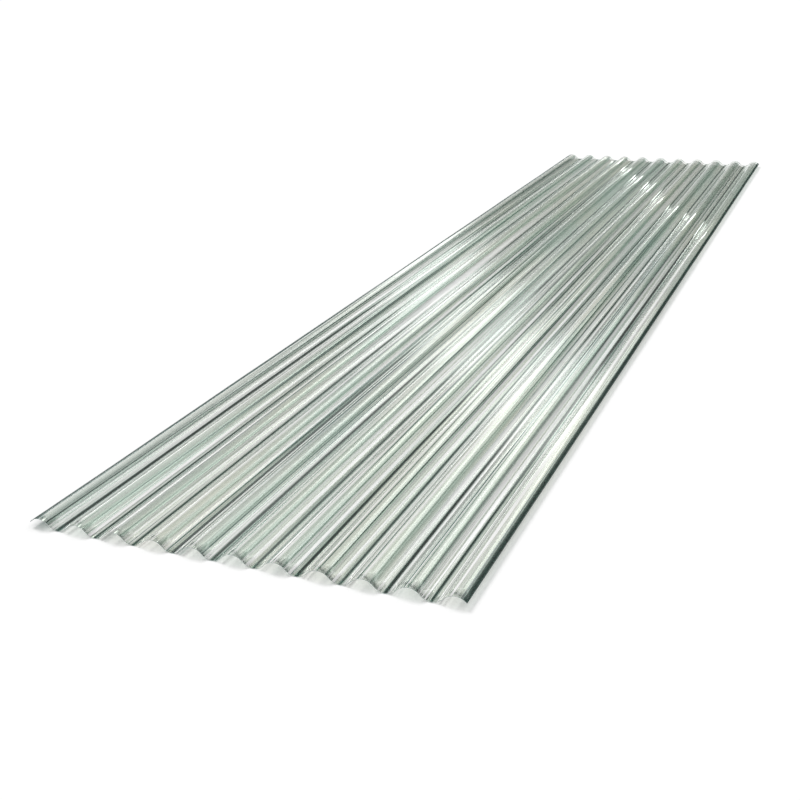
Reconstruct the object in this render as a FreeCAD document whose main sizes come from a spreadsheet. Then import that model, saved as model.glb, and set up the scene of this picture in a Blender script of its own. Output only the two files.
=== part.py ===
import FreeCAD, Part
import Sketcher
import math
import os

# A corrugated polycarbonate roofing sheet, extruded as one piece.
# It lies flat on its valleys. X runs across the waves, Y along them and Z up.
# The origin is under the middle crest, at mid-length, on the level the valleys rest on.
# Lengths are in millimetres.

doc = FreeCAD.newDocument("corrugated_sheet")

# ---- driving dimensions ------------------------------------------------------

sizes = doc.addObject("Spreadsheet::Sheet", "sizes")
driving_sizes = [
    ("pitch", 76.2, "crest to crest"),
    ("depth", 18.0, "underside of the valleys to the top of the crests"),
    ("thickness", 0.8, "wall of the sheet"),
    ("sheet_length", 3600.0, "along the waves"),
    ("crest_count", 11, "crests across the width"),
]
for row, (alias, value, meaning) in enumerate(driving_sizes, start=1):
    sizes.set(f"A{row}", meaning)
    sizes.set(f"B{row}", str(value))
    sizes.setAlias(f"B{row}", alias)
doc.recompute()

# The section is a chain of equal arches, crest up and valley down by turns.
# Each spans half a pitch, and neighbours meet without a kink halfway up the depth.
# The middle of the wall rises by depth - thickness, half of it in each arch.
WALL_RADIUS = (
    "(((sizes.pitch / 4)^2 + ((sizes.depth - sizes.thickness) / 2)^2)"
    " / (sizes.depth - sizes.thickness))"
)
FLANK_ANGLE = "(2 * atan((sizes.depth - sizes.thickness) / 2 / (sizes.pitch / 4)))"
CREST, VALLEY = 1, -1

# The same two as plain numbers, to draw each arch in place before it is bound.
middle_rise = sizes.depth - sizes.thickness
wall_radius = ((sizes.pitch / 4) ** 2 + (middle_rise / 2) ** 2) / middle_rise
flank_angle = 2 * math.atan2(middle_rise / 2, sizes.pitch / 4)

# ---- one arch ----------------------------------------------------------------


def add_arch(body, name, side, drawn_x, centre_x):
    """Pad one arch of the wave: two concentric arcs closed by radial ends.

    side is CREST or VALLEY. The arch is drawn with its middle at drawn_x, across the
    waves, and the rule centre_x then holds it there.
    """
    across = next(item for item in body.Origin.OriginFeatures if item.Role == "XZ_Plane")
    sketch = body.newObject("Sketcher::SketchObject", name + "_section")
    sketch.AttachmentSupport = (across, "")
    sketch.MapMode = "FlatFace"

    # The bend's centre lies below a crest and above a valley.
    if side == CREST:
        drawn_z = sizes.depth - sizes.thickness / 2 - wall_radius
        centre_z = f"sizes.depth - sizes.thickness / 2 - {WALL_RADIUS}"
    else:
        drawn_z = sizes.thickness / 2 + wall_radius
        centre_z = f"sizes.thickness / 2 + {WALL_RADIUS}"
    centre = FreeCAD.Vector(drawn_x, drawn_z, 0)
    middle = math.radians(90) * side

    def arc(arc_radius):
        circle = Part.Circle(centre, FreeCAD.Vector(0, 0, 1), arc_radius)
        bend = Part.ArcOfCircle(circle, middle - flank_angle, middle + flank_angle)
        return sketch.addGeometry(bend)

    outer = arc(wall_radius + sizes.thickness / 2)
    inner = arc(wall_radius - sizes.thickness / 2)
    outer_arc, inner_arc = sketch.Geometry[outer], sketch.Geometry[inner]
    first_end = sketch.addGeometry(Part.LineSegment(outer_arc.StartPoint, inner_arc.StartPoint))
    last_end = sketch.addGeometry(Part.LineSegment(outer_arc.EndPoint, inner_arc.EndPoint))

    # The arcs share a centre, both ends point at it, and the arch stands level.
    START, END, CENTRE, ORIGIN = 1, 2, 3, (-1, 1)
    for rule in [
        ("Coincident", outer, CENTRE, inner, CENTRE),
        ("Coincident", first_end, START, outer, START),
        ("Coincident", first_end, END, inner, START),
        ("Coincident", last_end, START, outer, END),
        ("Coincident", last_end, END, inner, END),
        ("PointOnObject", outer, CENTRE, first_end),
        ("PointOnObject", outer, CENTRE, last_end),
        ("Horizontal", outer, START, outer, END),
    ]:
        sketch.addConstraint(Sketcher.Constraint(*rule))

    # Each bound size starts at its drawn value and then follows the spreadsheet.
    outer_rule = f"{WALL_RADIUS} + sizes.thickness / 2"
    inner_rule = f"{WALL_RADIUS} - sizes.thickness / 2"
    for label, rule, bound_to in [
        ("centre_across", ("DistanceX", *ORIGIN, outer, CENTRE, centre.x), centre_x),
        ("centre_height", ("DistanceY", *ORIGIN, outer, CENTRE, centre.y), centre_z),
        ("outer_radius", ("Radius", outer, outer_arc.Radius), outer_rule),
        ("inner_radius", ("Radius", inner, inner_arc.Radius), inner_rule),
        ("bend_angle", ("Angle", outer, 2 * flank_angle), f"2 * {FLANK_ANGLE}"),
    ]:
        index = sketch.addConstraint(Sketcher.Constraint(*rule))
        sketch.renameConstraint(index, label)
        sketch.setExpression(f"Constraints.{label}", bound_to)

    pad = body.newObject("PartDesign::Pad", name)
    pad.Profile = sketch
    pad.SideType = "Symmetric"
    pad.setExpression("Length", "sizes.sheet_length")
    body.Tip = pad
    doc.recompute()
    return pad


# ---- the sheet ---------------------------------------------------------------
# A crest and the valley after it repeat across the width, and one more crest ends the
# row, so both side edges stop halfway up a flank.

sheet = doc.addObject("PartDesign::Body", "corrugated_sheet")
first_crest = add_arch(sheet, "first_crest", CREST, 0, "0")
first_valley = add_arch(sheet, "first_valley", VALLEY, sizes.pitch / 2, "sizes.pitch / 2")

waves = sheet.newObject("PartDesign::LinearPattern", "waves")
waves.Originals = [first_crest, first_valley]
waves.Direction = (first_crest.Profile[0], ["H_Axis"])
waves.Mode = "Spacing"
sheet.Tip = waves
waves.setExpression("Offset", "sizes.pitch")
waves.setExpression("Occurrences", "sizes.crest_count - 1")
doc.recompute()

last_x = (sizes.crest_count - 1) * sizes.pitch
last_crest = add_arch(sheet, "last_crest", CREST, last_x, "(sizes.crest_count - 1) * sizes.pitch")

sheet.setExpression(".Placement.Base.x", "-(sizes.crest_count - 1) / 2 * sizes.pitch")
sheet.Label = "corrugated_sheet"
doc.recompute()

# ---- check and write ---------------------------------------------------------

for item in doc.Objects:
    if "Invalid" in item.State or "Error" in item.State:
        raise RuntimeError(f"{item.Name} didn't build: {item.State}")
if sheet.Shape.isNull() or not sheet.Shape.isValid():
    raise RuntimeError(f"{sheet.Label} has no valid shape")
if len(sheet.Shape.Solids) != 1:
    raise RuntimeError(f"{sheet.Label} isn't one solid")

os.makedirs("parts", exist_ok=True)
sheet.Shape.exportStep(f"parts/{sheet.Label}.step")
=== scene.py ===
"""A clear corrugated polycarbonate sheet, lying on a pale studio floor.

X runs across the waves, Y along them and Z up. Lengths are in metres.
"""

import bpy
import numpy as np
from mathutils import Matrix, Vector


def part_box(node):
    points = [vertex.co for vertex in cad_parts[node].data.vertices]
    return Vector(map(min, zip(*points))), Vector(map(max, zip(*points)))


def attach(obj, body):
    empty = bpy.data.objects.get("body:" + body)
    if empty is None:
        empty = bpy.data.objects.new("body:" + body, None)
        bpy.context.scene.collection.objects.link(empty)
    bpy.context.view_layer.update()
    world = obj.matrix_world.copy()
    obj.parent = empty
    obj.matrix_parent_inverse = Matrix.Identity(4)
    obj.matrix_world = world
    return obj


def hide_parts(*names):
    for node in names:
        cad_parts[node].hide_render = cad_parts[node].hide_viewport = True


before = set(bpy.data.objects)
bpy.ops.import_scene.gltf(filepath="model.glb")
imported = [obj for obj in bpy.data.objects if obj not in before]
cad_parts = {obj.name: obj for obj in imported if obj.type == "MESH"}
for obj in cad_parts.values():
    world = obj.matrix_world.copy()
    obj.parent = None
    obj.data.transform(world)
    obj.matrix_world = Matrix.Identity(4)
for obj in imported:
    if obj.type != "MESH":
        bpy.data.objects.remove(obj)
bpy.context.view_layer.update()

# ---- sizes, from the frame ---------------------------------------------------

SHEET_LOW, SHEET_HIGH = (np.array(corner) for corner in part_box("corrugated_sheet"))
LENGTH = SHEET_HIGH[1] - SHEET_LOW[1]
DEPTH = SHEET_HIGH[2] - SHEET_LOW[2]
CRESTS = 11
ARCHES = 2 * CRESTS - 1
THICKNESS = 0.0008
PITCH = 0.0762
MIDDLE_RISE = DEPTH - THICKNESS
BEND_RADIUS = ((PITCH / 4) ** 2 + (MIDDLE_RISE / 2) ** 2) / MIDDLE_RISE
FLANK_ANGLE = 2 * np.arctan((MIDDLE_RISE / 2) / (PITCH / 4))


# ---- mesh helpers ------------------------------------------------------------


def add_mesh(name, points, quads, materials, slots=0, smooth=False, uv=None):
    """An object at the origin from an array of points and an array of quads.

    slots and smooth are one value for the whole mesh, or an array with one for each quad.
    """
    mesh = bpy.data.meshes.new(name)
    mesh.from_pydata(points.reshape(-1, 3).tolist(), [], quads.tolist())
    if uv is not None:
        layer = mesh.uv_layers.new(name="wave")
        layer.uv.foreach_set("vector", uv[quads.ravel()].astype(np.float32).ravel())
    for material in materials:
        mesh.materials.append(material)
    mesh.polygons.foreach_set("material_index", np.full(len(quads), slots, dtype=np.int32))
    mesh.polygons.foreach_set("use_smooth", np.full(len(quads), smooth))
    mesh.update()
    piece = bpy.data.objects.new(name, mesh)
    bpy.context.scene.collection.objects.link(piece)
    return piece


def grid_quads(index):
    """The quads of a grid whose point numbers are the 2-D array index."""
    corners = [index[:-1, :-1], index[1:, :-1], index[1:, 1:], index[:-1, 1:]]
    return np.stack(corners, axis=-1).reshape(-1, 4)


def level_square(half_side, height, faces_up):
    """The four corners and the one quad of a level square over the origin."""
    ends = [-half_side, half_side]
    corners = np.stack(np.meshgrid(ends, ends, [height], indexing="ij"), axis=-1)
    quad = [0, 2, 3, 1] if faces_up else [0, 1, 3, 2]
    return corners.reshape(-1, 3), np.array([quad])


# ---- the sheet ---------------------------------------------------------------

# How the sheet lifts off level: slow swells, each with its height, how many there are
# along the sheet, how many in each metre across it, and where it starts.
SWELLS = [
    (0.00028, 2.3, 0.6, 0.10),
    (0.000175, 5.1, -1.3, 0.37),
    (0.000084, 11.0, 2.9, 0.71),
]


def wall_middle(turn):
    """A point and an outward normal on the middle of the wall, across the waves.

    turn counts arches from the left edge: 0 to 1 is the first crest, 1 to 2 the first
    valley and so on. In each arch the wall is an arc of BEND_RADIUS that turns evenly
    through twice FLANK_ANGLE, bending down over a crest and up under a valley.
    """
    arch = np.minimum(np.floor(turn), ARCHES - 1)
    crest = np.where(arch % 2 == 0, 1.0, -1.0)
    lean = (turn - arch - 0.5) * 2 * FLANK_ANGLE
    centre_x = (arch / 2 - (CRESTS - 1) / 2) * PITCH
    centre_z = DEPTH / 2 + crest * (MIDDLE_RISE / 2 - BEND_RADIUS)
    x = centre_x + BEND_RADIUS * np.sin(lean)
    z = centre_z + crest * BEND_RADIUS * np.cos(lean)
    return x, z, crest * np.sin(lean), np.cos(lean)


def lift(x, y):
    """How far the sheet lifts off level: swells along it, each from 0 to twice its height."""
    return sum(
        height * (1 + np.sin(2 * np.pi * (along * y / LENGTH + across * x + start)))
        for height, along, across, start in SWELLS
    )


def skin(turn, y, side):
    """One skin: the wall middle moved half a wall along its normal, side 1 up or -1 down."""
    x, z, normal_x, normal_z = wall_middle(turn)
    half_wall = side * THICKNESS / 2
    skin_x = x + half_wall * normal_x
    skin_z = z + half_wall * normal_z + lift(x, y)
    return np.stack(np.broadcast_arrays(skin_x, y, skin_z), axis=-1)


def corrugated_sheet(steps_per_arch=15, rows=121):
    """The closed sheet: a top and a bottom skin, joined round their edges.

    Two parameters, the turn across the waves and y along them, give each skin. Strips of
    quads close the two side edges and the two cut ends. Skins take material slot 0 and
    strips slot 1.
    """
    turn = np.linspace(0, ARCHES, ARCHES * steps_per_arch + 1)[:, None]
    y = np.linspace(SHEET_LOW[1], SHEET_HIGH[1], rows)[None, :]
    points = np.stack([skin(turn, y, 1), skin(turn, y, -1)])
    top, bottom = np.arange(points[..., 0].size).reshape(points.shape[:3])
    skin_quads = np.concatenate([grid_quads(top), grid_quads(bottom)[:, ::-1]])
    edge_quads = np.concatenate([
        grid_quads(np.stack([bottom[0], top[0]])),
        grid_quads(np.stack([top[-1], bottom[-1]])),
        grid_quads(np.stack([top[:, 0], bottom[:, 0]])),
        grid_quads(np.stack([bottom[:, -1], top[:, -1]])),
    ])
    quads = np.concatenate([skin_quads, edge_quads])
    slots = np.repeat([0, 1], [len(skin_quads), len(edge_quads)])
    # U counts whole waves across the sheet, V runs 0 to 1 along it.
    wave_uv = np.stack(np.broadcast_arrays(turn / 2, y / LENGTH + 0.5), axis=-1)
    uv = np.stack([wave_uv, wave_uv]).reshape(-1, 2)
    return points, quads, slots, uv


# ---- shader helpers ----------------------------------------------------------


class Shader:
    """A node tree, with short ways to add nodes and join them."""

    def __init__(self, tree):
        self.nodes, self.links = tree.nodes, tree.links

    def put(self, value, socket):
        """Link value to the socket if it is a node's output, and set it there otherwise."""
        if isinstance(value, bpy.types.NodeSocket):
            self.links.new(value, socket)
        elif socket.type == "RGBA":
            socket.default_value = (*value, 1)
        else:
            socket.default_value = value

    def node(self, kind, inputs, **settings):
        """A new node with its settings made first and then its inputs."""
        made = self.nodes.new("ShaderNode" + kind)
        for setting, value in settings.items():
            setattr(made, setting, value)
        for name, value in inputs.items():
            self.put(value, made.inputs[name])
        return made

    def math(self, operation, first, second=0.0):
        return self.node("Math", {0: first, 1: second}, operation=operation).outputs["Value"]

    def noise(self, vector, stretch, detail):
        """Noise over a vector stretched along each axis."""
        stretched = self.node("Mapping", {"Vector": vector, "Scale": stretch})
        inputs = {"Vector": stretched.outputs["Vector"], "Scale": 1.0, "Detail": detail}
        return self.node("TexNoise", inputs).outputs["Fac"]

    def ramp(self, value, stops):
        """The colour or grey level at value, blended straight from stop to stop."""
        made = self.node("ValToRGB", {"Fac": value})
        elements = made.color_ramp.elements
        while len(elements) < len(stops):
            elements.new(0.5)
        for element, (position, colour) in zip(elements, stops):
            element.position = position
            element.color = (*np.broadcast_to(colour, 3), 1)
        return made.outputs["Color"]

    def blend(self, share, first, second):
        """first, with share of it given over to second."""
        inputs = {"Factor": share, "A": first, "B": second}
        return self.node("Mix", inputs, data_type="RGBA").outputs["Result"]

    def product(self, first, *others):
        """Colours or grey levels multiplied together."""
        for other in others:
            inputs = {"Factor": 1.0, "A": first, "B": other}
            made = self.node("Mix", inputs, data_type="RGBA", blend_type="MULTIPLY")
            first = made.outputs["Result"]
        return first

    def bump(self, height, distance, over=None):
        """A normal that follows height, on top of the normal over if there is one."""
        made = self.node("Bump", {"Height": height, "Distance": distance})
        if over is not None:
            self.put(over, made.inputs["Normal"])
        return made.outputs["Normal"]

    def layer(self, share, under, over):
        """The shader under, with share of it covered by the shader over."""
        return self.node("MixShader", {0: share, 1: under, 2: over}).outputs["Shader"]

    def finish(self, surface):
        self.node("OutputMaterial", {"Surface": surface})


def new_material(name):
    material = bpy.data.materials.new(name)
    material.use_nodes = True
    material.node_tree.nodes.clear()
    return material, Shader(material.node_tree)


# ---- clear polycarbonate -----------------------------------------------------
# Patterns follow the wave's own UV. Its phase says where on a wave a point is: 0 and 1 on
# the left flank, 0.25 on the crest, 0.5 on the right flank and 0.75 in the valley.

REFRACTION = 1.58
HAZE_SHARE = 0.05
RIPPLE_HEIGHT = 0.0012
DIE_LINE_HEIGHT = 0.00009
# How much wider the painted dark strip at the left edge is than at the right, in waves.
LEFT_EXTRA = 0.13

# Tint of one skin by phase, with light and shade painted in: clear beside the crest and on the
# flanks, standing in for highlights, a painted shade line on the upper right flank, and a dark
# painted shade line down the valley.
WAVE_TINT_AND_PAINTED_LIGHT = [
    (0.00, (0.985, 0.995, 0.985)),
    (0.10, (0.967, 0.982, 0.968)),
    (0.18, (1.000, 1.000, 1.000)),
    (0.25, (0.970, 0.984, 0.971)),
    (0.36, (0.935, 0.953, 0.938)),
    (0.43, (0.680, 0.755, 0.722)),
    (0.47, (0.790, 0.840, 0.815)),
    (0.53, (1.000, 1.000, 1.000)),
    (0.66, (0.985, 0.995, 0.985)),
    (0.712, (0.810, 0.850, 0.830)),
    (0.725, (0.175, 0.290, 0.265)),
    (0.750, (0.175, 0.290, 0.265)),
    (0.763, (0.770, 0.810, 0.800)),
    (0.81, (0.967, 0.982, 0.968)),
    (0.90, (1.000, 1.000, 1.000)),
    (1.00, (0.985, 0.995, 0.985)),
]
# How much of each phase carries painted highlight lines: most beside the crest and down into the
# valley.
PAINTED_HIGHLIGHT_PHASES = [
    (0.00, 0.35),
    (0.11, 0.30),
    (0.14, 1.00),
    (0.22, 1.00),
    (0.27, 0.20),
    (0.46, 0.10),
    (0.50, 0.90),
    (0.66, 1.00),
    (0.71, 0.10),
    (0.79, 0.10),
    (0.85, 1.00),
    (0.92, 1.00),
    (1.00, 0.35),
]


def uneven_normal(shader, wave):
    """The slow ripple that cooling leaves, with fine die lines on it along the sheet."""
    ripple = shader.noise(wave, (1.3, 4.5, 0.0), 1.0)
    die_lines = shader.noise(wave, (15.0, 0.8, 0.0), 1.5)
    rippled = shader.bump(ripple, RIPPLE_HEIGHT)
    return shader.bump(die_lines, DIE_LINE_HEIGHT, over=rippled)


def line_crispness(shader, along):
    """1 where the lines are crisp, over the front of the sheet, and less further back."""
    return shader.ramp(along, [(0.40, 1.0), (0.68, 0.40)])


def dark_lines(shader, wave, crispness):
    """Tint of the fine dark lines along the sheet."""
    lines = shader.ramp(shader.noise(wave, (15.0, 0.9, 0.0), 1.5), [
        (0.385, (0.26, 0.38, 0.36)),
        (0.415, (0.95, 0.962, 0.957)),
        (0.52, 1.0),
    ])
    return shader.blend(crispness, (0.95, 0.965, 0.955), lines)


def warm_and_cool_patches(shader, wave):
    """Tint that drifts slowly along the sheet between cool and warm."""
    return shader.ramp(shader.noise(wave, (0.5, 4.0, 0.0), 3.0), [
        (0.35, (0.950, 0.972, 0.958)),
        (0.50, (0.984, 0.984, 0.966)),
        (0.65, (1.0, 0.990, 0.965)),
    ])


def slanted_tint(shader):
    """Seen at a slant the light crosses more plastic, so silhouettes are deeper."""
    slant = shader.node("LayerWeight", {"Blend": 0.5})
    return shader.ramp(slant.outputs["Facing"], [
        (0.80, 1.0),
        (0.93, (0.88, 0.91, 0.90)),
        (1.00, (0.60, 0.68, 0.67)),
    ])


def painted_side_edge_shade(shader, across):
    """Painted shade: a dark strip over the last few millimetres before each side edge."""
    from_left = shader.math("SUBTRACT", across, LEFT_EXTRA)
    from_right = shader.math("SUBTRACT", ARCHES / 2, across)
    return shader.ramp(shader.math("MINIMUM", from_left, from_right), [
        (0.00, (0.22, 0.31, 0.30)),
        (0.085, (0.26, 0.35, 0.34)),
        (0.11, 1.0),
    ])


def painted_highlight_share(shader, wave, phase, painted_edge_shade, crispness):
    """Share of fine pale painted highlight lines along the sheet, which come and go in patches.
    """
    lines = shader.ramp(
        shader.noise(wave, (14.0, 0.8, 4.0), 1.5), [(0.505, 0.0), (0.52, 1.0)]
    )
    patches = shader.ramp(
        shader.noise(wave, (0.9, 3.0, 8.0), 2.0), [(0.38, 0.50), (0.58, 1.0)]
    )
    where = shader.ramp(phase, PAINTED_HIGHLIGHT_PHASES)
    return shader.product(lines, where, patches, painted_edge_shade, crispness)


def gloss_share(shader, normal, painted_edge_shade):
    """Gloss: 5% face on, rising to a mirror edge on. Near the side edges the painted edge shade
    cuts most of the gloss, to keep the strip dark.
    """
    edge_on = shader.node("LayerWeight", {"Blend": 0.5, "Normal": normal}).outputs["Facing"]
    steep = shader.math("POWER", edge_on, 5.0)
    share = shader.node("MapRange", {"Value": steep, "To Min": 0.05, "To Max": 0.95})
    return shader.math("MULTIPLY", share.outputs["Result"], painted_edge_shade)


def clear_polycarbonate():
    """Glossy clear plastic with a grey-green body, with shade painted dark down the valley floors
    and highlights painted on as pale lines.
    """
    material, shader = new_material("clear polycarbonate")
    wave = shader.node("UVMap", {}, uv_map="wave").outputs["UV"]
    place = shader.node("SeparateXYZ", {"Vector": wave})
    across, along = place.outputs["X"], place.outputs["Y"]
    phase = shader.math("FRACT", across)
    normal = uneven_normal(shader, wave)
    # Painted shade along the side edges, which also dims the gloss and the painted highlights
    # there.
    painted_edge_shade = painted_side_edge_shade(shader, across)
    crispness = line_crispness(shader, along)

    # Painted shade and highlight bands by phase, times fine streaks, slow patches, the slant and
    # the painted edge shade.
    tint_and_painted_shade = shader.product(
        shader.ramp(phase, WAVE_TINT_AND_PAINTED_LIGHT),
        dark_lines(shader, wave, crispness),
        warm_and_cool_patches(shader, wave),
        slanted_tint(shader),
        painted_edge_shade,
    )
    clear = shader.node("BsdfTransparent", {"Color": tint_and_painted_shade})
    haze = shader.node("BsdfPrincipled", {
        "Base Color": (0.62, 0.66, 0.63),
        "Roughness": 0.30,
        "IOR": REFRACTION,
        "Normal": normal,
    })
    body = shader.layer(HAZE_SHARE, clear.outputs["BSDF"], haze.outputs["BSDF"])

    # Painted highlights: near-white matt lines over the clear body.
    highlight_white = shader.node("BsdfDiffuse", {"Color": (0.98, 0.98, 0.975)})
    share = painted_highlight_share(shader, wave, phase, painted_edge_shade, crispness)
    with_painted_highlights = shader.layer(share, body, highlight_white.outputs["BSDF"])

    gloss = shader.node("BsdfAnisotropic", {
        "Color": (1.0, 1.0, 1.0),
        "Roughness": 0.015,
        "Normal": normal,
    })
    share = gloss_share(shader, normal, painted_edge_shade)
    shader.finish(shader.layer(share, with_painted_highlights, gloss.outputs["BSDF"]))
    return material


def cut_edge():
    """Sawn edge: frosted, and brighter than the faces because the sheet pipes light to it."""
    material, shader = new_material("sawn polycarbonate edge")
    place = shader.node("TexCoord", {}).outputs["Object"]
    marks = shader.node("TexNoise", {"Vector": place, "Scale": 700.0, "Detail": 2.0})
    colour = shader.ramp(marks.outputs["Fac"], [
        (0.0, (0.34, 0.42, 0.41)),
        (1.0, (0.66, 0.73, 0.71)),
    ])
    frosted = shader.node("BsdfPrincipled", {
        "Base Color": colour,
        "Roughness": 0.55,
        "IOR": REFRACTION,
    })
    shader.finish(frosted.outputs["BSDF"])
    return material


# ---- studio materials --------------------------------------------------------

# A ceiling that only the gloss sees: dull grey, with long light panels running along the
# sheet, a broad soft band across it further off and a narrow bright one beyond.
CEILING_HEIGHT, CEILING_HALF_SIDE = 3.2, 70.0
# The ceiling's own grey, on the left and on the right, and where and how fast it changes.
DULL_LEFT, DULL_RIGHT, CHANGE_AT, CHANGE_WIDTH = 0.40, 0.08, -2.0, 8.0
# Each panel: its middle across the sheet, its width and its brightness.
PANELS = [(3.0, 1.0, 1.3), (1.3, 0.8, 1.6), (0.1, 0.7, 1.6), (-7.5, 1.8, 4.0)]
PANEL_SOFTNESS = 0.2
PANELS_END, PANELS_FADE = 8.5, 2.0
# Each band: its middle along the sheet, its width, its brightness, its slant and how far
# to the right it reaches.
BANDS = [(4.1, 2.6, 2.2, 1.5, 6.0), (11.5, 0.36, 5.0, 1.5, -0.9)]
BAND_SOFTNESS = 0.6
REACH_FADE = 0.8


def seen_rather_than_lit_by(shader, lit_by, seen):
    """Grey lit_by for scattered light, seen for looking straight, in a gloss or through glass."""
    rays = shader.node("LightPath", {}).outputs
    looked_at = rays["Is Camera Ray"]
    for kind in ("Is Glossy Ray", "Is Transmission Ray"):
        looked_at = shader.math("MAXIMUM", looked_at, rays[kind])
    return shader.blend(looked_at, (lit_by, lit_by, lit_by), (seen, seen, seen))


def floor_paint():
    """Matt studio floor. It lights its surroundings as pale paint and is seen as white."""
    material, shader = new_material("floor paint")
    matt = shader.node("BsdfDiffuse", {"Color": seen_rather_than_lit_by(shader, 0.65, 1.0)})
    shader.finish(matt.outputs["BSDF"])
    return material


def ceiling_paint():
    """Dull ceiling with the light panels and bands on it."""
    material, shader = new_material("ceiling")
    place = shader.node("TexCoord", {}).outputs["Object"]
    split = shader.node("SeparateXYZ", {"Vector": place})
    x, y = split.outputs["X"], split.outputs["Y"]

    def lit(distance, half_width, soft, brightness):
        """brightness within half_width, fading to nothing over soft."""
        inputs = {
            "Value": distance,
            "From Min": half_width + soft / 2,
            "From Max": half_width - soft / 2,
            "To Max": brightness,
        }
        faded = shader.node("MapRange", inputs, interpolation_type="SMOOTHSTEP")
        return faded.outputs["Result"]

    near = lit(y, PANELS_END, PANELS_FADE, 1.0)
    left = lit(x, CHANGE_AT, CHANGE_WIDTH, DULL_LEFT - DULL_RIGHT)
    glow = shader.math("ADD", left, DULL_RIGHT)
    for across, width, brightness in PANELS:
        gap = shader.math("ABSOLUTE", shader.math("SUBTRACT", x, across))
        stripe = lit(gap, width / 2, width * PANEL_SOFTNESS, brightness)
        glow = shader.math("ADD", shader.math("MULTIPLY", stripe, near), glow)
    for along, width, brightness, slant, reach in BANDS:
        skewed = shader.math("ADD", y, shader.math("MULTIPLY", x, slant))
        gap = shader.math("ABSOLUTE", shader.math("SUBTRACT", skewed, along))
        stripe = lit(gap, width / 2, width * BAND_SOFTNESS, brightness)
        reached = lit(x, reach, REACH_FADE, 1.0)
        glow = shader.math("ADD", shader.math("MULTIPLY", stripe, reached), glow)
    emission = shader.node("Emission", {"Color": (0.96, 1.0, 0.96), "Strength": glow})
    shader.finish(emission.outputs["Emission"])
    material.cycles.emission_sampling = "NONE"
    return material


# ---- build -------------------------------------------------------------------

points, quads, slots, uv = corrugated_sheet()
# The cut edges stay crisp: the skins are smooth, the edge strips flat.
sheet = add_mesh(
    "clear_sheet", points, quads, [clear_polycarbonate(), cut_edge()], slots, slots == 0, uv
)
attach(sheet, "root")
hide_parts("corrugated_sheet")

FLOOR_HALF_SIDE = 40.0
floor = add_mesh("studio_floor", *level_square(FLOOR_HALF_SIDE, 0.0, True), [floor_paint()])

# ---- light -------------------------------------------------------------------

sun = bpy.data.lights.new("high window", "SUN")
sun.energy = 1.6
sun.angle = np.radians(25)
sun_holder = bpy.data.objects.new("high window", sun)
sun_aim = Vector((0.62, -0.35, -0.70)).normalized()
sun_holder.matrix_world = sun_aim.to_track_quat("-Z", "Y").to_matrix().to_4x4()
bpy.context.scene.collection.objects.link(sun_holder)

ceiling_square = level_square(CEILING_HALF_SIDE, CEILING_HEIGHT, False)
ceiling = add_mesh("studio_ceiling", *ceiling_square, [ceiling_paint()])
ceiling.visible_camera = False
ceiling.visible_diffuse = False
ceiling.visible_transmission = False
ceiling.visible_volume_scatter = False
ceiling.visible_shadow = False

world = bpy.data.worlds.new("studio")
world.use_nodes = True
sky = Shader(world.node_tree)
sky.put(seen_rather_than_lit_by(sky, 0.68, 1.0), sky.nodes["Background"].inputs["Color"])
bpy.context.scene.world = world
bpy.context.scene.view_settings.view_transform = "Standard"

# ---- camera ------------------------------------------------------------------

EYE = Vector((0.912, SHEET_LOW[1] - 1.440, 0.944))
TURN_LEFT, LOOK_DOWN, ROLL = np.radians([22.96, 21.64, -1.76])
camera = bpy.data.cameras.new("camera")
camera.lens = 53.3835
camera.clip_end = 200
viewer = bpy.data.objects.new("camera", camera)
viewer.matrix_world = (
    Matrix.Translation(EYE)
    @ Matrix.Rotation(TURN_LEFT, 4, "Z")
    @ Matrix.Rotation(np.pi / 2 - LOOK_DOWN, 4, "X")
    @ Matrix.Rotation(ROLL, 4, "Z")
)
bpy.context.scene.collection.objects.link(viewer)
bpy.context.scene.camera = viewer
